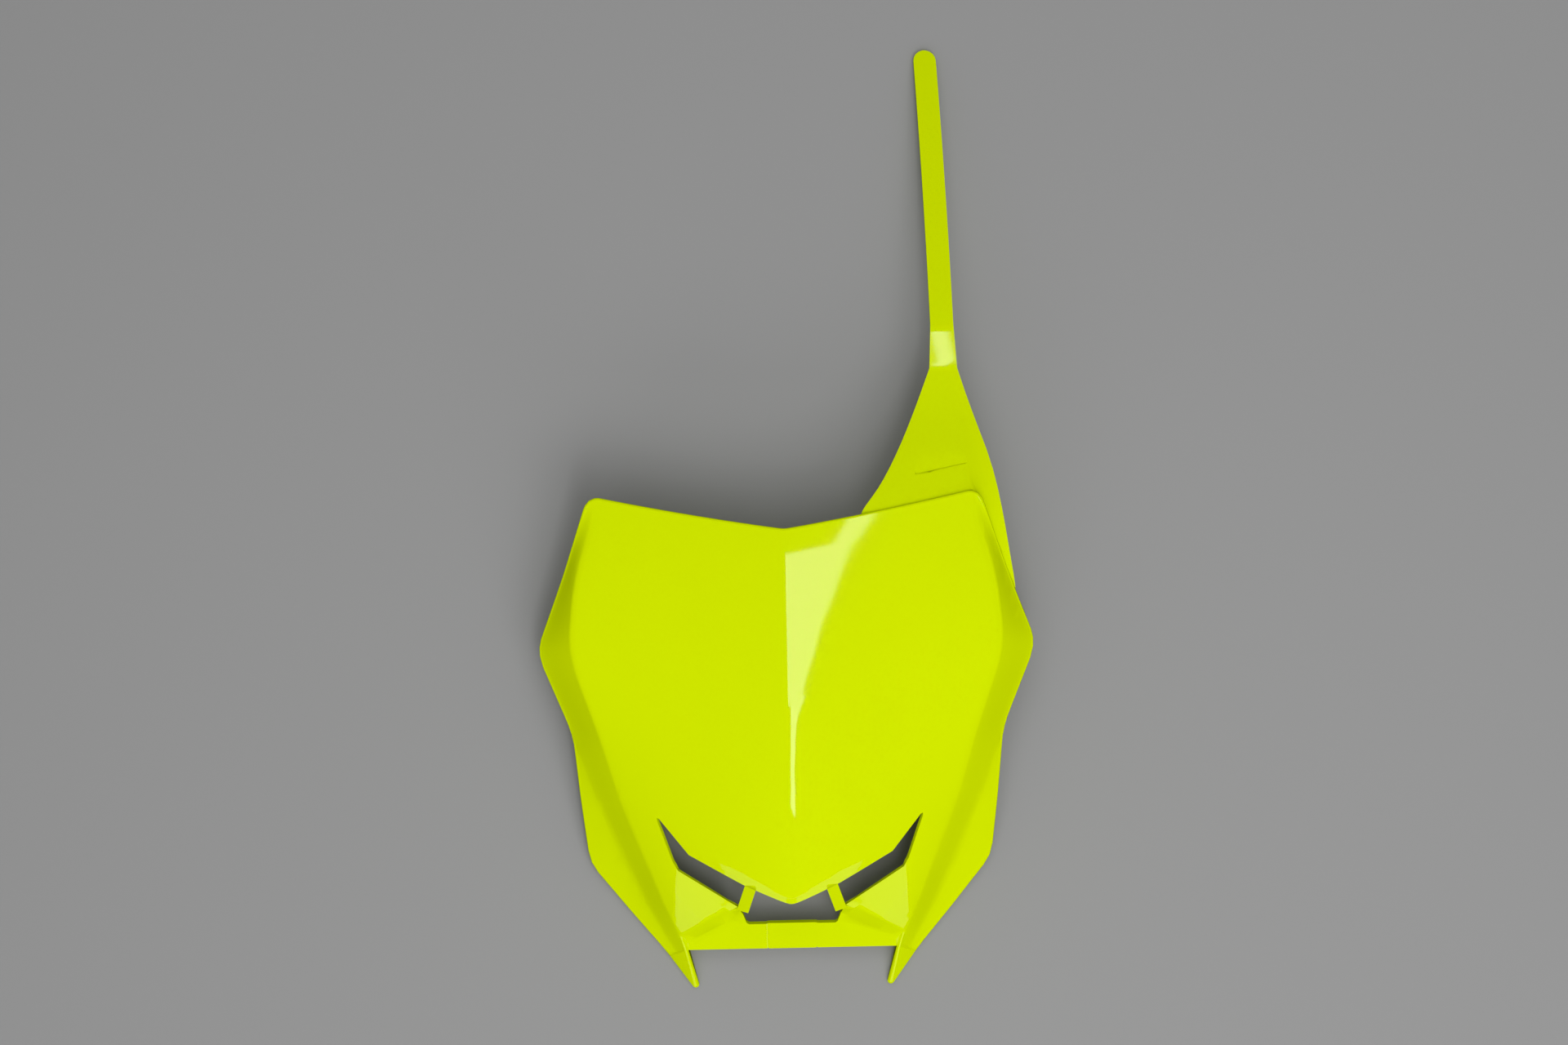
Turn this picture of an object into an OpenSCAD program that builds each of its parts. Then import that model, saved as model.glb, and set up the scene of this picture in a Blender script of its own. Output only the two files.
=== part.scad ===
// Racing number board: one moulded plastic shell with a strap wing.
// Lies face up as it rests on its leg tips and its strap end.
// X runs across the board, Y towards the strap end, Z up from the table.

/* [Outline of the board] */
// Width across the two side points
side_w = 251.2; // [240:0.2:264]
// Width across the two top corners
top_w = 197; // [188:0.5:206]
// Width across the two waists below the side points
waist_w = 221.4; // [212:0.2:230]
// Width across the two lower corners
low_w = 208.4; // [198:0.2:218]
// Distance between the middles of the two leg tips
tip_w = 101.6; // [94:0.2:110]
// Height of the top corners above the leg tips
top_y = 253.6; // [242:0.2:266]
// Depth of the notch in the middle of the top edge
notch_d = 17; // [8:0.5:26]
// Height of the side points above the leg tips
side_y = 176.2; // [166:0.2:186]
// Height of the waists above the leg tips
waist_y = 132.8; // [124:0.2:142]
// Height of the lower corners above the leg tips
low_y = 64.8; // [56:0.2:74]

/* [Wall and edges] */
// Wall thickness of the moulding
wall = 2.2; // [1.6:0.1:2.8]
// Radius of the rounded outer edge
edge_r = 1.1; // [0.6:0.1:1.4]
// Depth of the turned-down rim around the board
rim_d = 3.4; // [3.2:0.1:4.4]

/* [Face] */
// Height of the highest point of the middle crease above the table
face_z = 64; // [58:0.5:70]
// Distance of that highest point above the leg tips
crown_y = 215; // [200:1:230]
// Height of the crease at the chin above the table
chin_z = 46; // [42:0.5:50]
// Distance of the chin tip above the leg tips
chin_y = 47.1; // [44:0.1:50]
// Radius of the soft middle crease
crease_r = 1.5; // [1:0.5:8]
// Height above the leg tips at which the crease has faded out
crease_end_y = 84; // [70:1:110]
// Drop of the bent-down lip along the chin
chin_lip = 1.6; // [0:0.1:3]
// Width of the bent-down lip along the chin
chin_lip_w = 9; // [5:0.5:14]
// Half width of the soft ridge between face and side facet
ridge_r = 1.6; // [1:0.1:4]
// Width of the side facet at the side point
facet_w = 18; // [12:0.5:24]
// Width of the side facet at the waist and below
facet_low_w = 13.6; // [10:0.2:17]
// Width of the lower flange at the lower corner
flange_w = 20.4; // [14:0.2:26]

/* [Vents and cheeks] */
// Distance of each vent tip from the middle
vent_tip_x = 67.3; // [63:0.1:70]
// Height of the vent tips above the leg tips
vent_tip_y = 91.5; // [86:0.1:97]
// Distance of the upper knee of each vent from the middle
vent_knee_x = 51.6; // [48:0.1:55]
// Height of the upper knee above the leg tips
vent_knee_y = 72.3; // [70:0.1:75]
// Width of the vent slot at its knee
vent_w = 10.4; // [8:0.1:12.5]
// Distance of the inner cheek corners from the middle
cheek_x = 27.2; // [25:0.1:29.5]
// Height of the inner cheek corners above the leg tips
cheek_y = 43.4; // [42:0.1:45]
// Height of the inner cheek corners above the table
cheek_z = 27.5; // [25:0.5:31]
// Depth of the dish in the cheek panels
cheek_dish = 0.5; // [0:0.1:2]
// Width of the two struts under the chin
strut_w = 6; // [4.5:0.1:7]

/* [Lower bar] */
// Height of the bottom edge of the bar above the leg tips
bar_y = 19.3; // [17:0.1:22]
// Height of that bottom edge above the table
bar_z = 11; // [9.5:0.1:12.5]
// Tilt of the bar
bar_tilt = 26.6; // [22:0.2:30]
// Height of the upper edge of the bar above the leg tips
bar_top_y = 33.1; // [31.5:0.1:34.5]
// Half width of the opening between chin and bar
gap_x = 23.1; // [21:0.1:24]
// Radius of the lower corners of that opening
gap_r = 1.3; // [0.8:0.1:2.5]
// Thickness of the bar
bar_t = 2.4; // [1.8:0.1:3]
// Width of the centre pad on the bar
pad_w = 24.6; // [18:0.2:32]
// Width of the sloping step at each side of the pad
pad_step_w = 1; // [0.6:0.1:3.5]
// Depth of the centre pad below the bar
pad_d = 0.6; // [0.3:0.1:1]

/* [Wing and strap] */
// Distance of the strap end from the leg tips
strap_end_y = 484; // [450:1:520]
// Height of the strap root above the leg tips
root_y = 316; // [306:1:326]
// Width of the strap
strap_w = 11.7; // [9:0.1:15]
// Width of the strap root
root_w = 14; // [11:0.1:18]
// Thickness of the strap and wing
strap_t = 2.2; // [1.8:0.1:2.8]
// Distance of the strap root from the middle
root_x = 82.2; // [78:0.2:86]
// Distance of the strap end from the middle
strap_end_x = 78; // [72:0.5:84]
// Height of the strap root above the table
root_z = 40.5; // [36:0.5:45]
// Length of the flat stretch behind the root fold
fold_l = 22; // [12:1:32]
// Step from the rim of the board down to the wing
wing_step = 1.9; // [1.4:0.1:2.4]
// Depth of the shallow recess in the wing
recess_d = 0.5; // [0.3:0.1:1.2]

/* [Hidden] */
plastic = [0.83, 0.90, 0.02];

// Stations down each side of the board:
// top corner, upper side, side point, waist, vent tip, lower corner, flange, bar, leg tip
point_cut = 1.5;
tip_r = 1.9;
edge_x = [top_w / 2 + 1.6, (top_w + side_w) / 4, side_w / 2 + point_cut, waist_w / 2 - 0.6,
          (waist_w + 2 * low_w) / 6 + 1.2, low_w / 2, low_w * 0.4, tip_w * 0.66, tip_w / 2 + tip_r];
edge_y = [top_y - 5.8, (top_y + side_y) / 2 - 1, side_y, waist_y, (waist_y + low_y) / 2, low_y,
          low_y - 26, bar_y, 0];
edge_z = [58, 47, 35, 27, 17.5, 7, 5.4, 4.4, 3.2];
fold_x = [for (k = [0:3]) edge_x[k], edge_x[4] - flange_w * 0.46, edge_x[5] - flange_w,
          edge_x[6] - flange_w * 0.47, edge_x[7] - 4.4, edge_x[8] - 1.4];
fold_y = [for (k = [0:3]) edge_y[k], edge_y[4] - 0.6, low_y - 1.4, low_y - 23, bar_y + 2.6, 0.4];
fold_z = [for (k = [0:3]) edge_z[k], 22, 14, 10.4, 7.4, 3.6];
ridge_x = [edge_x[0] - 7.8, edge_x[1] - facet_w * 0.38, edge_x[2] - facet_w, edge_x[3] - facet_low_w * 1.12,
           fold_x[4] - facet_low_w, fold_x[5] - facet_low_w * 0.9, fold_x[6] - facet_low_w * 0.64,
           fold_x[7] - facet_low_w * 0.42, tip_w / 2];
ridge_y = [top_y - 1, edge_y[1] - 0.5, side_y - 0.2, waist_y, edge_y[4] - 3, low_y - 2.8, low_y - 20.8,
           bar_y + 5.7, 0.4];
ridge_z = [58.8, 57.6, 53.4, 43.6, 34.6, 27, 22.4, 15.2, 4.2];
edge_line = [for (k = [0:8]) [edge_x[k], edge_y[k], edge_z[k]]];
fold_line = [for (k = [0:8]) [fold_x[k], fold_y[k], fold_z[k]]];
ridge_line = [for (k = [0:8]) [ridge_x[k], ridge_y[k], ridge_z[k]]];
waist_t = 3;
vent_t = 4;
cheek_t = 6.86;
leg_t = 7.4;

// A point on a chain of points, and the same chain with its corners rounded over the span r
function mix(a, b, f) = a + (b - a) * f;
function chain(line, t) =
    let (k = max(0, min(floor(t), len(line) - 2))) mix(line[k], line[k + 1], t - k);
function soft(line, t, r) =
    let (k = round(t))
    (k <= 0 || k >= len(line) - 1 || abs(t - k) >= r) ? chain(line, t) :
    let (s = (t - k + r) / (2 * r))
    chain(line, k - r) * (1 - s) * (1 - s) + line[k] * 2 * s * (1 - s) + chain(line, k + r) * s * s;
function style(line, t, r) =
    let (p = soft(line, t, r)) [p[0], p[1], soft(line, t, 0.5)[2]];
function unit(v) = v / norm(v);
function soft_abs(x, r) = sqrt(x * x + r * r) - r;
function look(x, xs, ys) =
    x <= xs[0] ? ys[0] : x >= xs[len(xs) - 1] ? ys[len(ys) - 1] :
    let (k = max([for (i = [0:len(xs) - 2]) if (xs[i] <= x) i]))
    mix(ys[k], ys[k + 1], (x - xs[k]) / (xs[k + 1] - xs[k]));

// Outer edge of the side, its outward direction, and the edge moved in by the edge radius
function edge_out(t) = style(edge_line, t, 0.2);
function edge_dir(t) =
    let (d = edge_out(t + 0.02) - edge_out(max(0, t - 0.02))) unit([-d[1], d[0], 0]);
function edge_in(t) = edge_out(t) - edge_dir(t) * edge_r;
function fold_at(t) = t <= waist_t ? edge_in(t) :
    let (p = style(fold_line, t, 0.2)) mix(edge_in(t), p, min(1, (t - waist_t) * 2.5));
function ridge_at(t) = style(ridge_line, t, 0.34);

// Top edge: shallow V with a soft notch, out to the ridge
top_x = ridge_x[0];
function top_curve(x) =
    let (s = soft_abs(x, crease_r) / soft_abs(top_x, crease_r))
    mix(top_y - notch_d, ridge_y[0], 0.82 * s + 0.18 * s * s);
function top_dir(x) = unit([top_curve(x - 0.5) - top_curve(x + 0.5), 1, 0]);

// Height of the face: crowned crease, ridge line and the cross profile between them
function crease_z(y) = face_z - (face_z - chin_z) * pow((crown_y - y) / (crown_y - chin_y), 2);
rows_t = [0, 0.06, 0.14, 0.32, 0.56, 0.8, 1, 1.25, 1.5, 1.68, 1.82, 1.93, 2.04, 2.18, 2.36, 2.56, 2.76,
          2.88, 3, 3.14, 3.32, 3.52, 3.7, 3.84, 3.94, 4];
ridge_ts = [for (t = [8:-0.25:0]) t];
ridge_ys = [for (t = ridge_ts) ridge_at(t)[1]];
ridge_xs = [for (t = ridge_ts) ridge_at(t)[0]];
ridge_zs = [for (t = ridge_ts) ridge_at(t)[2]];
function face_at(x, y) =
    let (xr = look(y, ridge_ys, ridge_xs),
         zr = look(y, ridge_ys, ridge_zs),
         zc = crease_z(y),
         a = max(0.04, min(1, (y - crease_end_y) / (top_y - crease_end_y - 40))),
         f = a * soft_abs(x, crease_r) / soft_abs(xr, crease_r) + (1 - a) * pow(x / xr, 2))
    zc - (zc - zr) * f;

// Columns across the face, from the crease to the ridge, and the landmarks on them
face_u = [0, 0.015, 0.04, 0.09, 0.16, 0.24, 0.32, 0.41, 0.5, 0.58, 0.69, 0.79, 0.81, 0.835, 0.865,
          0.9, 0.935, 0.968, 1];
u_chin = 0.32;
u_knee = 0.58;
u_slot = 0.79;
u_tip = 0.81;
vent_tip = [vent_tip_x, vent_tip_y];
vent_knee = [vent_knee_x, vent_knee_y];
low_knee = vent_knee + vent_w * unit([0.55, -0.84]);
arm_knee = low_knee + [2.6, 4.6];
chin_side = [vent_knee_x * 0.46, mix(chin_y, vent_knee_y, 0.385)];

// Lower edge of the face: chin, upper vent edge, then across the arm to the ridge
function chin_xy(u) =
    let (r = ridge_at(vent_t))
    u <= u_chin ? let (x = chin_side[0] * u / u_chin)
        [x, mix(chin_y, chin_side[1], soft_abs(x, 2.5) / soft_abs(chin_side[0], 2.5))] :
    [look(u, [u_chin, u_knee, u_slot, u_tip, 1],
          [chin_side[0], vent_knee[0], vent_tip[0] - 1.1, vent_tip[0], r[0]]),
     look(u, [u_chin, u_knee, u_slot, u_tip, 1],
          [chin_side[1], vent_knee[1], vent_tip[1] - 0.6, vent_tip[1], r[1]])];
// Lower vent edge, from the vent tip past the knee to the inner corner of the cheek
arm_v = 0.36;
knee_v = 0.43;
knee_sink = 0.8;
blunt_v = 0.03;
fan_t = 6.55;
function side_t(v) =
    v < knee_v ? mix(vent_t, fan_t, v / knee_v) : mix(fan_t, cheek_t, (v - knee_v) / (1 - knee_v));
corner_sink = face_at(cheek_x, cheek_y) - cheek_z;
function slot_edge(v) =
    [look(v, [0, blunt_v, arm_v, knee_v, 1],
          [vent_tip[0], vent_tip[0] - 0.1, arm_knee[0], low_knee[0], cheek_x]),
     look(v, [0, blunt_v, arm_v, knee_v, 1],
          [vent_tip[1], vent_tip[1] - 1.7, arm_knee[1], low_knee[1], cheek_y])];
function slot_sink(v) =
    v < knee_v ? knee_sink * pow(v / knee_v, 2) : mix(knee_sink, corner_sink, (v - knee_v) / (1 - knee_v));
// Lower edge of the cheek, from its inner corner to the ridge
function cheek_edge(u) =
    mix([cheek_x, cheek_y, cheek_z], ridge_at(cheek_t), u);
// Foot of the return wall under that edge, just below the top of the bar
function bar_top(y) = bar_z + (y - bar_y) * tan(bar_tilt);
function cheek_foot(u, sink) =
    let (p = cheek_edge(u), x = p[0] - 2 - 2 * u * u * u * u, y = p[1] - 5 + 1.4 * u) [x, y, bar_top(y) - sink];

// Grid over half of the board
nf = len(face_u) - 1;
facet_s = [0.5, 0.8, 1];
nc = nf + 1 + len(facet_s);
flange_s = [0.4, 0.75, 1];
nd = nc + 1 + len(flange_s);
cheek_v = [0, blunt_v, 0.135, 0.169, 0.202, 0.26, 0.32, arm_v, 0.395, knee_v, 0.54, 0.66, 0.78, 0.9, 1];
low_t = [for (v = cheek_v) side_t(v), mix(cheek_t, leg_t, 0.5), leg_t];
ja = len(rows_t) - 1;
jb = ja + 1;
jk = jb + len(cheek_v) - 1;
jl = jk + 2;
jw = jl + 1;
jx = jw + 1;
iv = search(u_tip, face_u)[0];
j_waist = search(waist_t, rows_t)[0];
function row_t(j) = j <= ja ? rows_t[j] : low_t[min(j - jb, len(low_t) - 1)];

// Face, arm and cheek before the ridge is rounded
function face_pt(u, t) =
    let (r = ridge_at(t), c = chin_xy(u), x0 = top_x * u, y0 = top_curve(x0) - edge_r,
         w = t / vent_t,
         side = [x0, y0] + ([r[0], r[1]] - [top_x, ridge_y[0] - edge_r]) * u,
         down = [c[0], mix(y0, c[1], w)],
         f = pow(w, 2.2),
         x = t >= vent_t ? c[0] : mix(mix(side[0], x0, 0), c[0] + (r[0] - ridge_at(vent_t)[0]) * u, f),
         yr = mix(top_curve(top_x) - edge_r, ridge_at(vent_t)[1], w),
         y = t >= vent_t ? c[1] : down[1] + (r[1] - yr) * u,
         d = norm([x - c[0], y - c[1]]),
         near = max(0, 1 - d / chin_lip_w),
         lip = chin_lip * near * near * max(0, 1 - max(0, u - u_chin) / (u_tip - u_chin)))
    [x, y, face_at(x, y) - lip];
function cheek_pt(u, v) =
    let (r = ridge_at(side_t(v)), l = slot_edge(v), w = max(0, (v - knee_v) / (1 - knee_v)),
         wide = norm([r[0], r[1]] - l), q = (u - u_tip) / (1 - u_tip),
         f = u == face_u[nf - 1] ? 1 - min(0.3, ridge_r / wide) : q,
         p = mix(l, [r[0], r[1]], f))
    [p[0], p[1], face_at(p[0], p[1]) - slot_sink(v) * (1 - f) - cheek_dish * 16 * f * (1 - f) * w * (1 - w)];
function raw(i, j) =
    let (t = row_t(j), r = ridge_at(t), s = fold_at(t), e = edge_in(t),
         wide = norm(s - r), cut = min(0.32, ridge_r / wide),
         corner = [edge_x[0] - edge_r - 1.7, top_y - 0.6, 58.3],
         k = i - nf,
         bow = t < 0.3 && i > nf ? (1 - t / 0.3) : 0)
    i == nf && j > jk ? r :
    i <= nf ? (j <= ja ? face_pt(face_u[i], t) : cheek_pt(face_u[i], cheek_v[min(j - jb, len(cheek_v) - 1)])) :
    i <= nc ? let (f = k == 1 ? cut : facet_s[k - 2], p = mix(r, s, f),
                   q = mix(mix(r, corner, f), mix(corner, s, f), f)) mix(p, q, bow) :
    let (m = i - nc, f = m == 1 ? 0.16 : flange_s[m - 2]) mix(s, e, f);
// The same grid with the ridge, the lower fold and the cheek edge rounded
function pt(i, j) =
    i == nf && j > 0 && j <= jk ? (raw(nf - 1, j) + 2 * raw(nf, j) + raw(nf + 1, j)) / 4 :
    i == nc && j > j_waist + 1 && j < jw ? (raw(nc - 1, j) + 2 * raw(nc, j) + raw(nc + 1, j)) / 4 :
    j == jk && i > iv && i < nf ? (raw(i, jk - 1) + 7 * raw(i, jk)) / 8 - [0, 0, 0.25] :
    j == jl ? raw(i, j) - [0, 0, 0.5] :
    j == jw ? cheek_foot((face_u[i] - u_tip) / (1 - u_tip), 0.2) :
    j == jx ? cheek_foot((face_u[i] - u_tip) / (1 - u_tip), bar_t * 0.7) - [0, 0.4, 0] :
    raw(i, j);

// Direction square to the surface at a grid point
function up(i, j) = j == jb ? ja - 1 : max(0, j == jw ? jk : j - 1);
function down(i, j) =
    j == ja ? (i >= iv ? jb + 1 : ja) : j == jk && i < nf ? jw : j == jx ? jx : j == jl ? jl : j + 1;
function square(i, j) =
    let (last = j <= j_waist ? nc : nd,
         i0 = max(j > jk && j < jw ? nf : j > ja ? iv : 0, i - 1), i1 = min(j >= jw ? nf : last, i + 1),
         a = pt(i1, j) - (i == 0 && j <= ja ? [-pt(1, j)[0], pt(1, j)[1], pt(1, j)[2]] : pt(i0, j)),
         b = pt(i, up(i, j)) - pt(i, down(i, j)))
    unit(cross(a, b));
function rim(p, o, k) =
    k == 0 ? p : k == 1 ? p + o * edge_r * 0.707 - [0, 0, edge_r * 0.293] :
    k == 2 ? p + o * edge_r - [0, 0, edge_r] : p + o * edge_r - [0, 0, rim_d];
function rim_back(p, o, k) =
    p - o * (wall - edge_r) - [0, 0, k == 0 ? wall : k == 1 ? wall + 0.25 : k == 2 ? wall + 0.5 : rim_d];
function rim_dir(i) = i <= nf ? top_dir(top_x * face_u[i]) : unit(mix(top_dir(top_x), edge_dir(0),
    (i - nf) / (nc - nf)));

// Vertex lists: front then back, for each half, rim rows last
cols = nd + 4;
rows = jx + 4;
function front(i, j) =
    j > jx ? rim(pt(i, 0), rim_dir(i), j - jx) :
    i > nd ? rim(j <= j_waist ? pt(nc, j) : pt(nd, j), j == 0 ? rim_dir(nc) : edge_dir(row_t(j)), i - nd) :
    pt(i, j);
function back(i, j) =
    j > jx ? rim_back(pt(i, 0), rim_dir(i), j - jx) :
    i > nd ? rim_back(j <= j_waist ? pt(nc, j) : pt(nd, j), j == 0 ? rim_dir(nc) : edge_dir(row_t(j)), i - nd) :
    j == 0 ? rim_back(pt(i, 0), rim_dir(i), 0) :
    (i == nd || (i == nc && j <= j_waist)) ? rim_back(pt(i, j), edge_dir(row_t(j)), 0) :
    i > nc && i < nd && j == j_waist + 1 ? mix(back(nc, j), back(nd, j), (i - nc) / (nd - nc)) :
    let (n = square(i, j), near = i > nf - 2 && i < nc && j < 4 ? max(0, 1 - row_t(j) / 0.34) : 0)
    pt(i, j) - wall * (i == 0 && j <= ja ? [0, n[1], n[2]] : n) - rim_dir(i) * (3 * near);

// Which cells of the grid carry wall
function has(i, j) =
    j >= jk ? i >= nf :
    j > ja ? i >= iv :
    j < j_waist ? i < nc || i > nd - 1 : true;
// Rows of cells: ordinary ones, the return wall and the rim
cells = concat(
    [for (j = [0:jl - 1]) if (j != ja) for (i = [0:nd + 2]) if (has(i, j)) [i, i + 1, j, j + 1]],
    [for (i = [iv:nf - 1]) [i, i + 1, jk, jw]],
    [for (i = [iv:nf - 1]) [i, i + 1, jw, jx]],
    [for (i = [0:nc - 1]) for (k = [0:2]) [i, i + 1, k == 0 ? 0 : jx + k, jx + k + 1]]);
function name(i, j) =
    j == jb ? name(i, ja) :
    j > jx && i == nc ? name(nd + j - jx, 0) :
    j <= j_waist && i > nc && i <= nd ? name(nc, j) :
    j * cols + i;
function mate(v, half) = v + half * rows * cols * 2;
function shared(i, j) = i == 0 && (j <= ja || j > jx);
function vert(i, j, half) = mate(name(i, j), shared(i, j) ? 0 : half);
function below(v) = v + rows * cols;
function clean(f) = [for (k = [0:len(f) - 1]) if (f[k] != f[(k + 1) % len(f)]) f[k]];
function turn(f, half) = half == 0 ? f : [for (k = [len(f) - 1:-1:0]) f[k]];
// Open borders of the grid, each a run of points with the wall on its left
function border(run, half) =
    [for (k = [0:len(run) - 2])
        let (a = vert(run[k][0], run[k][1], half), b = vert(run[k + 1][0], run[k + 1][1], half))
        if (a != b) turn([b, a, below(a), below(b)], half)];
rim_bottom = concat([for (i = [0:nc]) [i, jx + 3]], [for (j = [0:jl]) if (j != jb) [nd + 3, j]]);
leg_end = [for (i = [nd + 3:-1:nf]) [i, jl]];
leg_side = [for (j = [jl:-1:jk]) [nf, j]];
wall_end = [[nf, jk], [nf, jw], [nf, jx]];
wall_foot = [for (i = [nf:-1:iv]) [i, jx]];
vent_low = [[iv, jx], [iv, jw], for (j = [jk:-1:jb]) [iv, j]];
vent_high = [for (i = [iv:-1:0]) [i, ja]];

module shell() {
    points = [for (half = [0, 1]) for (side = [0, 1]) for (j = [0:rows - 1]) for (i = [0:cols - 1])
        let (ok = j > jx ? i <= nc : j >= jw ? i >= iv && i <= nf : j > jk ? i >= nf : j > jb ? i >= iv :
                  j != jb && (i <= nc || i > nd || j > j_waist),
             p = !ok ? [0, 0, 0] : side == 0 ? front(i, j) : back(i, j))
        half == 0 ? p : [-p[0], p[1], p[2]]];
    skin = [for (half = [0, 1]) for (c = cells)
        let (f = clean([vert(c[0], c[2], half), vert(c[1], c[2], half),
                        vert(c[1], c[3], half), vert(c[0], c[3], half)]),
             g = c[3] > jx ? [for (k = [len(f) - 1:-1:0]) f[k]] : f)
        if (len(f) > 2) turn(g, half)];
    faces = concat(skin,
        [for (f = skin) [for (k = [len(f) - 1:-1:0]) below(f[k])]],
        [for (half = [0, 1]) for (run = [rim_bottom, leg_end, leg_side, wall_end, wall_foot, vent_low,
                                         vent_high]) each border(run, half)]);
    polyhedron(points, faces);
}

// Solid leg from the end of the shell to its rounded tip
module ball(p, r) {
    translate(p) sphere(r, $fn = 12);
}
module leg() {
    t = leg_t - 0.16;
    r = ridge_at(t);
    s = fold_at(t);
    e = edge_in(t);
    h = ridge_at(cheek_t);
    foot = cheek_foot(1, bar_t * 0.7);
    tip = [tip_w / 2, 0, tip_r];
    hull() {
        ball([r[0] - 0.5, r[1], r[2] - 1.3], 1.2);
        ball([r[0] - 0.5, r[1], 1.6], 1.2);
        ball([s[0], s[1], s[2] - 1.2], 1.2);
        ball([e[0], e[1], e[2] - 1.1], edge_r);
        ball([e[0], e[1], edge_r], edge_r);
        ball(tip, tip_r);
    }
    hull() {
        ball([h[0] - 0.1, h[1] + 1, h[2] - 2.6], 1.2);
        ball([h[0] - 0.9, h[1] - 0.5, h[2] - 1.5], 1.2);
        ball([h[0] - 0.1, h[1] + 1, bar_z - 2], 1.2);
        ball([r[0] - 0.5, r[1], r[2] - 1.3], 1.2);
        ball([r[0] - 0.5, r[1], 1.6], 1.2);
        ball([h[0] + 3, h[1] - 2, h[2] - 8], 1.2);
        ball(foot + [0.4, 0.3, 0.5], 1.2);
    }
}
bar_end_x = ridge_at(7)[0] - 0.4;

// Strut from under the chin to the inner corner of the cheek
module strut() {
    high = [chin_side[0] * 0.86, chin_side[1] - 0.6];
    low = [cheek_x - 2.2, cheek_y - 1.6];
    a = atan2(low[0] - high[0], high[1] - low[1]);
    hull() {
        translate([high[0], high[1], face_at(high[0], high[1]) - chin_lip - wall - 0.6])
            rotate([0, 0, a]) cube([strut_w, 1.4, wall], center = true);
        translate([low[0], low[1], cheek_z - 1.6])
            rotate([0, 0, a]) cube([strut_w, 1.4, wall], center = true);
    }
}

// Rounded inner corner of the cheek, which the strut stands on
module cheek_nose() {
    foot = cheek_foot(0.1, 1.6);
    hull() {
        ball([cheek_x + 0.5, cheek_y - 1, cheek_z - 1.5], 1.1);
        ball(cheek_edge(0.2) + [0, 1, -1.9], 1.1);
        ball([foot[0] + 0.9, foot[1] + 1.9, foot[2]], 1.1);
    }
}

// Tilted lower bar with its sunken centre pad
module bar_outline() {
    c = cos(bar_tilt);
    foot = cheek_foot(0, 0);
    end = cheek_foot(1, 0);
    half = [[0, (bar_top_y - bar_y) / c], [gap_x, (bar_top_y - bar_y) / c],
            [foot[0] + 0.1, (foot[1] + 0.8 - bar_y) / c], [foot[0] + 1.4, (foot[1] + 1.8 - bar_y) / c],
            [end[0], (end[1] + 1 - bar_y) / c], [bar_end_x - 0.6, 0], [0, 0]];
    offset(r = -gap_r) offset(delta = gap_r)
        polygon(concat(half, [for (k = [len(half) - 2:-1:1]) [-half[k][0], half[k][1]]]));
    translate([-pad_w / 2, -0.5]) square([pad_w, 4]);
}
module lower_bar() {
    a = pad_w / 2;
    b = a + pad_step_w;
    far = side_w / 2;
    translate([0, bar_y, bar_z]) rotate([bar_tilt, 0, 0]) intersection() {
        translate([0, 0, -3 * bar_t]) linear_extrude(4 * bar_t) bar_outline();
        rotate([90, 0, 0]) linear_extrude(2 * top_y, center = true)
            polygon([[-far, 0], [-b, 0], [-a, -pad_d], [a, -pad_d], [b, 0], [far, 0],
                     [far, -bar_t], [b, -bar_t], [a, -bar_t - pad_d], [-a, -bar_t - pad_d],
                     [-b, -bar_t], [-far, -bar_t]]);
    }
}

// Wing: a flange that leaves the rim at the upper right and narrows into the strap
wing_end_t = 1 + 0.43;
wing_in = 1.7;
wing_left = [[37.2, 242.4], [43.6, 250.4], [49.8, 258.9], [58, 274.2], [66.3, 292.9],
             [root_x - root_w / 2, root_y]];
wing_right = [[117.6, 199], [113.7, 220.1], [110, 243.4], [105.1, 267.7], [95.6, 294.6],
              [root_x + root_w / 2, root_y]];
wing_left_z = [59.4, 57.6, 55, 50.4, 44.2, root_z];
wing_mid_z = [56.8, 56, 54.2, 50.6, 44.4, root_z];
wing_right_z = [40.6, 46.8, 50.4, 49.6, 44.2, root_z];
function bow3(a, b, c, s) = a * (1 - 2 * s) * (1 - s) + b * 4 * s * (1 - s) + c * s * (2 * s - 1);
function wing_x(s) = mix(wing_left[0][0], top_x, min(1, s * 12 / 5));
function wing_t(s) = max(0, s * 12 / 5 - 7 / 5) * wing_end_t;
function wing_root(s) =
    let (x = wing_x(s), o = edge_dir(wing_t(s)), p = edge_out(wing_t(s)), top = top_dir(x), c = pt(nf + 2, 0))
    s < 0.45 ? [x, top_curve(x)] - wing_in * [top[0], top[1]] :
    s < 0.55 ? [c[0], c[1]] - (wing_in - edge_r) * [0.7, 0.7] : [p[0], p[1]] - wing_in * [o[0], o[1]];
function wing_edge_z(s) =
    s < 0.45 ? face_at(wing_x(s), top_curve(wing_x(s)) - edge_r) :
    s < 0.55 ? pt(nf + 2, 0)[2] : edge_in(wing_t(s))[2];
function wing_pt(s, w) =
    let (l = soft(wing_left, w * 5, 0.5), r = soft(wing_right, w * 5, 0.5), fade = [1 - w, pow(1 - w, 2)],
         swell = wing_root(s) - mix(wing_root(0), wing_root(1), s),
         slip = mix(wing_root(0) - wing_left[0], wing_root(1) - wing_right[0], s),
         p = mix(l, r, s) + [swell[0] * fade[0], swell[1] * fade[1]] + slip * max(0, 1 - w * 12),
         start = bow3(wing_left_z[0], wing_mid_z[0], wing_right_z[0], s),
         z = bow3(soft(wing_left_z, w * 5, 0.5), soft(wing_mid_z, w * 5, 0.5),
                  soft(wing_right_z, w * 5, 0.5), s))
    [p[0], p[1], z + (wing_edge_z(s) - wing_step - start) * pow(1 - w, 3)];
strap_tip_z = strap_t;
cap_r = strap_w / 2;
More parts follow.
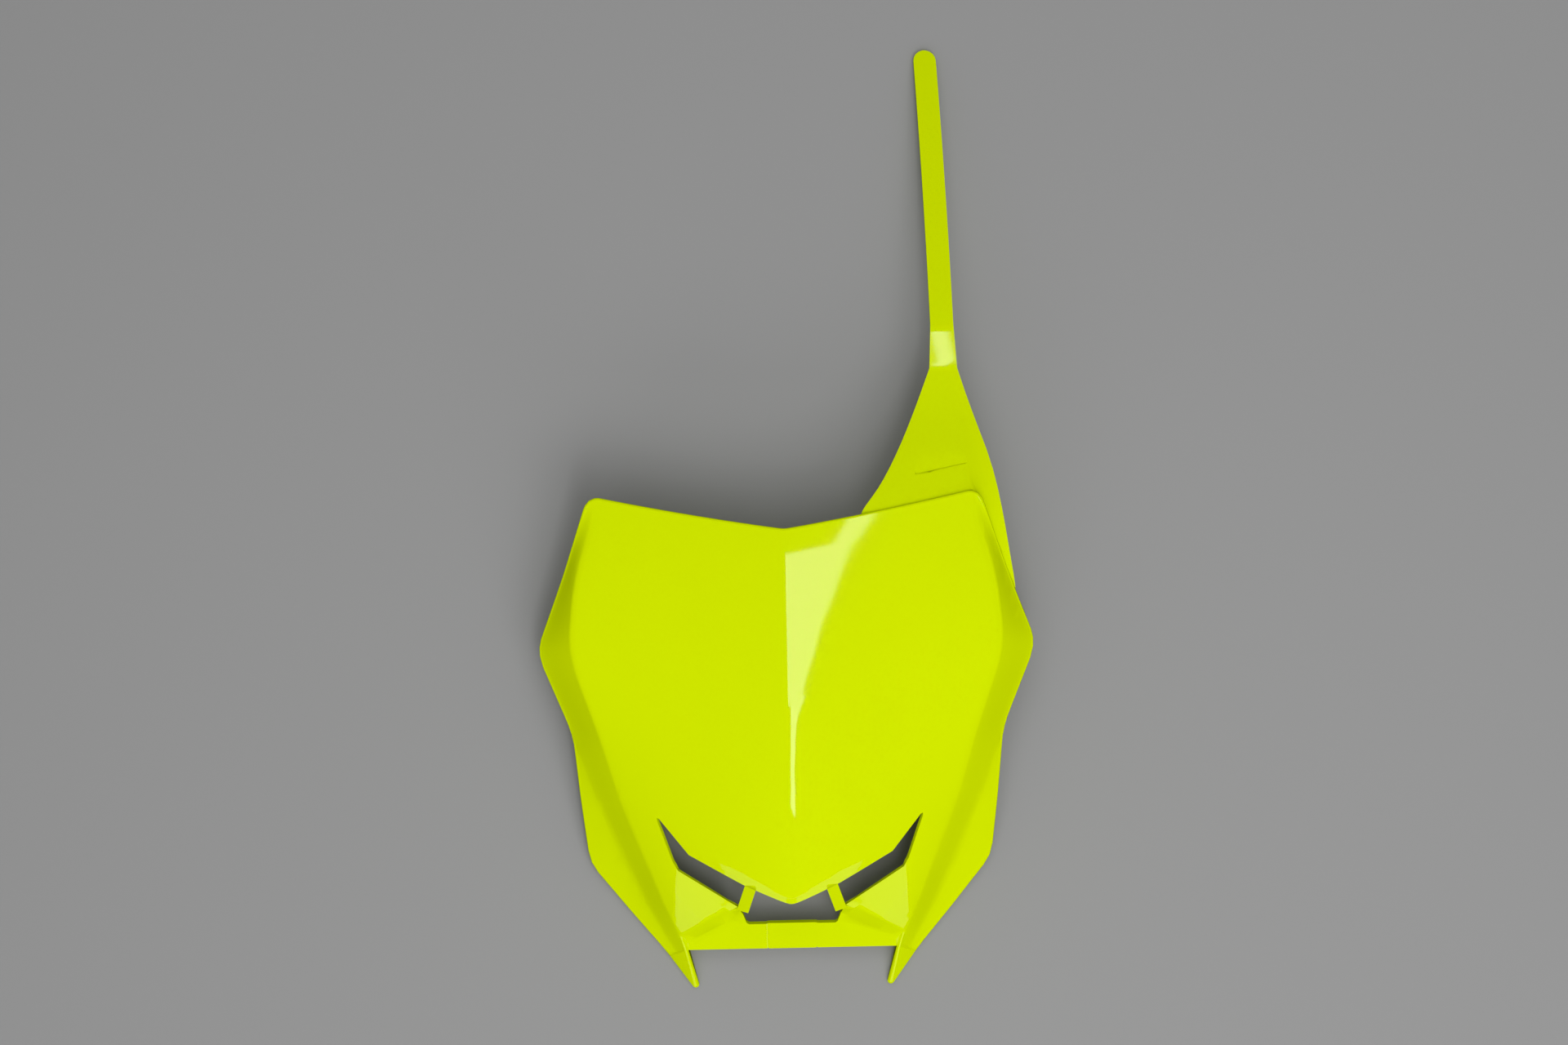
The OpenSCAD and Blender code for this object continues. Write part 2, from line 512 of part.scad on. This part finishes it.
cap_y = strap_end_y - cap_r;
function strap_z(y) =
    let (q = root_y + fold_l, slope = (root_z - 0.4 - strap_tip_z) / (strap_end_y - q))
    y < q ? root_z - 0.4 * pow((y - root_y) / fold_l, 2) : strap_tip_z + slope * (strap_end_y - y);
function strap_x(y) =
    let (f = (y - root_y) / (strap_end_y - root_y)) mix(root_x, strap_end_x, 0.35 * f + 0.65 * f * f);
function strap_half(y) =
    y > cap_y ? sqrt(max(0.02, cap_r * cap_r - (y - cap_y) * (y - cap_y))) :
    mix(root_w, strap_w, min(1, (y - root_y) / fold_l)) / 2;
wing_w = [0, 0.03, 0.07, 0.12, 0.18, 0.25, 0.33, 0.41, 0.49, 0.57, 0.65, 0.73, 0.81, 0.88, 0.94, 0.98];
strap_ys = concat([for (k = [0:6]) root_y + fold_l * k / 6],
                  [for (k = [1:9]) mix(root_y + fold_l, cap_y, k / 9)],
                  [for (a = [20:20:80]) cap_y + cap_r * sin(a)], [strap_end_y]);
wing_cols = [for (k = [0:12]) k / 12];
wing_grid = concat(
    [for (w = wing_w) [for (s = wing_cols) wing_pt(s, w)]],
    [for (y = strap_ys) [for (s = wing_cols)
        [strap_x(y) + strap_half(y) * (2 * s - 1), y, strap_z(y)]]]);
module sheet(grid, t) {
    m = len(grid);
    n = len(grid[0]);
    top = [for (row = grid) each row];
    at = function (i, j) j * n + i;
    quads = [for (j = [0:m - 2]) for (i = [0:n - 2]) [at(i, j), at(i, j + 1), at(i + 1, j + 1), at(i + 1, j)]];
    ring = concat([for (i = [0:n - 2]) at(i, 0)], [for (j = [0:m - 2]) at(n - 1, j)],
                  [for (i = [n - 1:-1:1]) at(i, m - 1)], [for (j = [m - 1:-1:1]) at(0, j)]);
    polyhedron(concat(top, [for (p = top) p - [0, 0, t]]),
        concat(quads, [for (q = quads) [for (k = [3:-1:0]) q[k] + m * n]],
            [for (k = [0:len(ring) - 1])
                let (a = ring[k], b = ring[(k + 1) % len(ring)]) [a, b, b + m * n, a + m * n]]));
}
// Shallow flat-bottomed recess in the wing, deepest along its lower edge
module wing_recess() {
    low = [65.3, 261.9];
    right = [92.4, 267.4];
    z0 = 54.1 - recess_d;
    fall = atan(0.2);
    translate([0, low[1], z0]) rotate([-fall, 0, 0]) linear_extrude(12)
        offset(r = 1.5) offset(delta = -1.5)
            polygon([[low[0], 0], [right[0], right[1] - low[1]], [right[0] + 3, 30], [low[0] + 9, 30]]);
}

module number_board() {
    color(plastic) union() {
        shell();
        for (side = [0, 1]) mirror([side, 0, 0]) {
            leg();
            strut();
            cheek_nose();
        }
        lower_bar();
        difference() {
            sheet(wing_grid, strap_t);
            wing_recess();
        }
    }
}

translate([0, -(strap_end_y - tip_r) / 2, 0])
    number_board();
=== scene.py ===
"""The looks of a moulded racing number board that lies face up on a table."""

import math

import bpy
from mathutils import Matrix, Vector


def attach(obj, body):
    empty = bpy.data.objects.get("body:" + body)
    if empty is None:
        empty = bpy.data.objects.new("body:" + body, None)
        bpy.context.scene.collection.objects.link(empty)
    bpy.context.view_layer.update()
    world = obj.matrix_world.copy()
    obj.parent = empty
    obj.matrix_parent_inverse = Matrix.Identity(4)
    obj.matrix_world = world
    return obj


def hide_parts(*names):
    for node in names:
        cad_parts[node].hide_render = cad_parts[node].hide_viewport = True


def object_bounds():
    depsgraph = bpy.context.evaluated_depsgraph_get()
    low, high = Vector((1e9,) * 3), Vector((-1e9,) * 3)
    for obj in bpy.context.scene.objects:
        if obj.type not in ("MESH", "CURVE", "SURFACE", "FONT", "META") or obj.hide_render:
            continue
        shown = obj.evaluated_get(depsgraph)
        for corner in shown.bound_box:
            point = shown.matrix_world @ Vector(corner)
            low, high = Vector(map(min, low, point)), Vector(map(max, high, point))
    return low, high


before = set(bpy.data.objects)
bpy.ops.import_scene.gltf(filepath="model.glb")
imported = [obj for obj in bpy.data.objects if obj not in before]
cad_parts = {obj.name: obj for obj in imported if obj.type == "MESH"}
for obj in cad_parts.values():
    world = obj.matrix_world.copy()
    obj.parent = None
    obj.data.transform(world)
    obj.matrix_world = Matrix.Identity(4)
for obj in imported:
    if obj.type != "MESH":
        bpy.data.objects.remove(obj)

bl_info = {
    "name": "Racing Number Board",
    "version": (1, 0, 0),
    "blender": (4, 5, 0),
    "location": "View3D > Sidebar > Number Board",
    "description": "Dresses a moulded racing number board and sets its table, lights and camera",
    "category": "Object",
}

NODE = "number_board"
BODY = "root"
MILLIMETRE = 0.001

TABLE_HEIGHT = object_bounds()[0][2]

# Noise that wanders over the plastic: scale and detail
TONE_NOISE = (14.0, 2.0)
HAZE_NOISE = (60.0, 3.0)
WAVE_NOISE = (38.0, 1.0)
FLOW_STRETCH = (1.0, 0.45, 1.0)
PLASTIC_IOR = 1.5

TABLE_ROUGHNESS = 0.85
TABLE_GLOSS = 0.2

# Limits for merging points and for joining triangles into quads
MERGE_DISTANCE = 0.002 * MILLIMETRE
QUAD_FACE_ANGLE = math.radians(12)
QUAD_SHAPE_ANGLE = math.radians(50)

SENSOR_WIDTH = 36.0

# Lights that face down and make the long highlight: name, place, size, share of power, turn
STRIP_LIGHTS = (
    ("strip_light", (0.14, -0.23, 1.5), (0.22, 0.44), 1.0, 0.0),
    ("strip_tail", (0.141, -0.6, 1.5), (0.088, 0.41), 0.41, -22.5),
    ("strip_corner", (0.24, 0.04, 1.5), (0.026, 0.105), 0.028, 0.0),
    ("strip_end", (0.177, 0.237, 1.5), (0.0195, 0.17), 0.042, 4.0),
)

# Lights low in front of the legs, mirrored in the cheeks: name, place, size, share of power
LOW_LIGHTS = (
    ("low_light", (0.0, -1.75, 1.13), (2.4, 0.5), 1.0),
    ("low_light_left", (-0.8, -2.05, 0.7), (0.7, 0.62), 0.36),
    ("low_light_right", (0.8, -2.05, 0.7), (0.7, 0.62), 0.36),
)


class Value:
    """A shader socket that takes part in sums, differences and products."""

    def __init__(self, shader, socket):
        self.shader = shader
        self.socket = socket

    def join(self, operation, first, second):
        return self.shader.add("ShaderNodeMath", {"operation": operation}, {0: first, 1: second})

    def __add__(self, other):
        return self.join("ADD", self, other)

    def __radd__(self, other):
        return self.join("ADD", other, self)

    def __sub__(self, other):
        return self.join("SUBTRACT", self, other)

    def __rsub__(self, other):
        return self.join("SUBTRACT", other, self)

    def __mul__(self, other):
        return self.join("MULTIPLY", self, other)

    def __rmul__(self, other):
        return self.join("MULTIPLY", other, self)


class Shader:
    """The node tree of one material or of the world, emptied and ready to be filled."""

    def __init__(self, owner):
        owner.use_nodes = True
        self.tree = owner.node_tree
        self.tree.nodes.clear()

    def add(self, kind, settings, inputs, output=0):
        node = self.tree.nodes.new(kind)
        for name, setting in settings.items():
            setattr(node, name, setting)
        for name, given in inputs.items():
            if isinstance(given, Value):
                self.tree.links.new(given.socket, node.inputs[name])
            else:
                node.inputs[name].default_value = given
        return Value(self, node.outputs[output]) if node.outputs else None

    def noise(self, place, grain):
        scale, detail = grain
        return self.add("ShaderNodeTexNoise", {}, {"Vector": place, "Scale": scale, "Detail": detail})


def linear(colour):
    """A colour from 0 to 1 as it is seen on a screen, as the light it stands for."""
    light = (c / 12.92 if c <= 0.04045 else ((c + 0.055) / 1.055) ** 2.4 for c in colour)
    return (*light, 1.0)


class BoardSettings(bpy.types.PropertyGroup):
    """Finish and edges of the moulded board"""

    colour: bpy.props.FloatVectorProperty(
        name="Plastic", description="Colour of the moulded plastic",
        subtype="COLOR_GAMMA", size=3, min=0, max=1, default=(0.808, 0.886, 0.0))
    shade: bpy.props.FloatVectorProperty(
        name="Deep plastic", description="Colour where the plastic is a little deeper",
        subtype="COLOR_GAMMA", size=3, min=0, max=1, default=(0.788, 0.875, 0.0))
    roughness: bpy.props.FloatProperty(
        name="Roughness", description="Roughness of the gloss", subtype="FACTOR",
        min=0, max=1, default=0.035)
    haze: bpy.props.FloatProperty(
        name="Haze", description="How far the roughness wanders over the surface", subtype="FACTOR",
        min=0, max=1, default=0.015)
    gloss: bpy.props.FloatProperty(
        name="Gloss", description="Strength of the mirror-like reflection", subtype="FACTOR",
        min=0, max=1, default=0.18)
    wave: bpy.props.FloatProperty(
        name="Wave", description="Depth of the faint waves in the moulded skin", subtype="DISTANCE",
        unit="LENGTH", default=0.03 * MILLIMETRE)
    smooth_angle: bpy.props.FloatProperty(
        name="Smooth angle", description="Edges sharper than this stay crisp", subtype="ANGLE",
        unit="ROTATION", default=math.radians(20))


class StageSettings(bpy.types.PropertyGroup):
    """Table, lights and camera"""

    floor_colour: bpy.props.FloatVectorProperty(
        name="Table", description="Colour of the table top", subtype="COLOR_GAMMA",
        size=3, min=0, max=1, default=(0.575, 0.575, 0.575))
    floor_size: bpy.props.FloatProperty(
        name="Table size", description="Side of the square table top", subtype="DISTANCE",
        unit="LENGTH", default=6.0)
    camera_height: bpy.props.FloatProperty(
        name="Camera height", description="Height of the camera above the table",
        subtype="DISTANCE", unit="LENGTH", default=1.3)
    camera_x: bpy.props.FloatProperty(
        name="Camera across", description="Place of the camera across the board",
        subtype="DISTANCE", unit="LENGTH", default=0.1 * MILLIMETRE)
    camera_y: bpy.props.FloatProperty(
        name="Camera along", description="Place of the camera along the board",
        subtype="DISTANCE", unit="LENGTH", default=-1.55 * MILLIMETRE)
    camera_turn: bpy.props.FloatProperty(
        name="Camera turn", description="Turn of the camera about its view line", subtype="ANGLE",
        unit="ROTATION", default=math.radians(-1.19))
    lens: bpy.props.FloatProperty(
        name="Lens", description="Focal length in millimetres on a 36 mm sensor", default=57.2)
    strip_power: bpy.props.FloatProperty(
        name="Strip light", description="Power of the long light right of the camera",
        subtype="POWER", default=3.1)
    low_power: bpy.props.FloatProperty(
        name="Low light", description="Power of the dim light low in front of the legs",
        subtype="POWER", default=6.3)
    front_power: bpy.props.FloatProperty(
        name="Front light", description="Power of the soft light in front of the legs",
        subtype="POWER", default=10.5)
    back_power: bpy.props.FloatProperty(
        name="Back light", description="Power of the soft light beyond the strap",
        subtype="POWER", default=5.0)
    ceiling_power: bpy.props.FloatProperty(
        name="Ceiling light", description="Power of the wide light high above the table",
        subtype="POWER", default=21.0)
    world_strength: bpy.props.FloatProperty(
        name="Room light", description="Strength of the even light of the room",
        min=0, default=0.26)


def board_plastic(settings):
    """Glossy moulded plastic with a faintly wandering gloss and tone and a faint wave in its skin."""
    material = bpy.data.materials.new("glossy_moulded_plastic")
    shader = Shader(material)
    place = shader.add("ShaderNodeTexCoord", {}, {}, "Object")
    flow = shader.add("ShaderNodeMapping", {}, {"Vector": place, "Scale": FLOW_STRETCH})
    tone = shader.noise(flow, TONE_NOISE)
    haze = shader.noise(place, HAZE_NOISE)
    wave = shader.noise(flow, WAVE_NOISE)
    colour = shader.add("ShaderNodeMix", {"data_type": "RGBA"}, {
        0: tone, 6: linear(settings.shade), 7: linear(settings.colour)}, 2)
    skin = shader.add("ShaderNodeBump", {}, {
        "Height": wave, "Distance": settings.wave, "Strength": 1.0})
    roughness = settings.roughness + (haze - 0.5) * settings.haze
    surface = shader.add("ShaderNodeBsdfPrincipled", {}, {
        "Base Color": colour, "Roughness": roughness, "Normal": skin,
        "Specular IOR Level": settings.gloss, "IOR": PLASTIC_IOR})
    shader.add("ShaderNodeOutputMaterial", {}, {"Surface": surface})
    return material


def table_top(settings):
    """Plain matte table top."""
    material = bpy.data.materials.new("matte_table_top")
    shader = Shader(material)
    surface = shader.add("ShaderNodeBsdfPrincipled", {}, {
        "Base Color": linear(settings.floor_colour), "Roughness": TABLE_ROUGHNESS,
        "Specular IOR Level": TABLE_GLOSS})
    shader.add("ShaderNodeOutputMaterial", {}, {"Surface": surface})
    return material


def select_only(thing):
    """Leave one object selected and active."""
    bpy.ops.object.select_all(action="DESELECT")
    thing.select_set(True)
    bpy.context.view_layer.objects.active = thing


class BOARD_OT_shell(bpy.types.Operator):
    """Dress the moulded board as one smooth glossy piece"""

    bl_idname = "board.shell"
    bl_label = "Moulded Board"

    def execute(self, context):
        settings = context.scene.board_settings
        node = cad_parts[NODE]
        board = node.copy()
        board.data = node.data.copy()
        board.name = "moulded_board"
        context.scene.collection.objects.link(board)
        select_only(board)
        bpy.ops.object.mode_set(mode="EDIT")
        bpy.ops.mesh.select_all(action="SELECT")
        bpy.ops.mesh.remove_doubles(threshold=MERGE_DISTANCE)
        bpy.ops.mesh.tris_convert_to_quads(
            face_threshold=QUAD_FACE_ANGLE, shape_threshold=QUAD_SHAPE_ANGLE)
        bpy.ops.object.mode_set(mode="OBJECT")
        bpy.ops.object.shade_smooth_by_angle(angle=settings.smooth_angle)
        bpy.ops.object.modifier_add(type="WEIGHTED_NORMAL")
        board.modifiers[0].keep_sharp = True
        bpy.ops.object.modifier_apply(modifier=board.modifiers[0].name)
        board.data.materials.clear()
        board.data.materials.append(board_plastic(settings))
        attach(board, BODY)
        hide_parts(NODE)
        return {"FINISHED"}


class BOARD_OT_stage(bpy.types.Operator):
    """Set the table top, the lights and the camera"""

    bl_idname = "board.stage"
    bl_label = "Table, Lights and Camera"

    def execute(self, context):
        settings = context.scene.board_stage
        bpy.ops.object.select_all(action="DESELECT")
        bpy.ops.mesh.primitive_plane_add(size=settings.floor_size, location=(0, 0, TABLE_HEIGHT))
        floor = context.object
        floor.name = "table_top"
        floor.data.materials.append(table_top(settings))
        floor.visible_glossy = False
        for name, place, size, share, turn in STRIP_LIGHTS:
            self.light(name, place, size, share * settings.strip_power, turn=turn)
        for name, place, size, share in LOW_LIGHTS:
            self.light(name, place, size, share * settings.low_power, aimed=True)
        for name, place, size, power, aimed in (
                ("front_light", (0.45, -1.0, 1.65), (1.3, 0.8), settings.front_power, True),
                ("back_light", (0.1, 1.1, 1.7), (1.3, 0.8), settings.back_power, True),
                ("ceiling_light", (0.0, 0.0, 3.0), (3.0, 3.0), settings.ceiling_power, False)):
            self.light(name, place, size, power, aimed=aimed, seen=False)
        self.room(context, settings)
        self.camera(context, settings)
        return {"FINISHED"}

    def light(self, name, place, size, power, turn=0.0, aimed=False, seen=True):
        """A rectangular soft light that faces down or towards the board.

        One that isn't seen lights the board but stays out of its reflections.
        """
        bpy.ops.object.light_add(type="AREA", location=place)
        lamp = bpy.context.object
        lamp.name = name
        lamp.data.shape = "RECTANGLE"
        lamp.data.size, lamp.data.size_y = size
        lamp.data.energy = power
        lamp.visible_glossy = seen
        lamp.rotation_euler.z = math.radians(turn)
        if aimed:
            lamp.rotation_euler = (-Vector(place)).to_track_quat("-Z", "Y").to_euler()

    def room(self, context, settings):
        """Even light from all around."""
        world = bpy.data.worlds.new("room")
        context.scene.world = world
        shader = Shader(world)
        glow = shader.add("ShaderNodeBackground", {}, {
            "Color": (1.0, 1.0, 1.0, 1.0), "Strength": settings.world_strength})
        shader.add("ShaderNodeOutputWorld", {}, {"Surface": glow})
        world.cycles_visibility.glossy = False

    def camera(self, context, settings):
        """A camera that looks straight down."""
        bpy.ops.object.camera_add(
            location=(settings.camera_x, settings.camera_y, settings.camera_height),
            rotation=(0.0, 0.0, settings.camera_turn))
        camera = context.object
        camera.name = "overhead_camera"
        camera.data.lens = settings.lens
        camera.data.sensor_width = SENSOR_WIDTH
        context.scene.camera = camera
        context.scene.view_settings.view_transform = "Standard"


class BOARD_PT_panel(bpy.types.Panel):
    """Steps and settings of the number board"""

    bl_idname = "BOARD_PT_panel"
    bl_label = "Number Board"
    bl_space_type = "VIEW_3D"
    bl_region_type = "UI"
    bl_category = "Number Board"

    def draw(self, context):
        for group, step in ((context.scene.board_settings, BOARD_OT_shell),
                            (context.scene.board_stage, BOARD_OT_stage)):
            box = self.layout.box()
            for name in group.__annotations__:
                box.prop(group, name)
            box.operator(step.bl_idname)


CLASSES = (BoardSettings, StageSettings, BOARD_OT_shell, BOARD_OT_stage, BOARD_PT_panel)


def register():
    for made in CLASSES:
        bpy.utils.register_class(made)
    bpy.types.Scene.board_settings = bpy.props.PointerProperty(type=BoardSettings)
    bpy.types.Scene.board_stage = bpy.props.PointerProperty(type=StageSettings)


def unregister():
    del bpy.types.Scene.board_stage
    del bpy.types.Scene.board_settings
    for made in reversed(CLASSES):
        bpy.utils.unregister_class(made)


def main():
    register()
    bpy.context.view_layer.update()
    bpy.ops.board.stage()
    bpy.ops.board.shell()


if __name__ == "__main__":
    main()
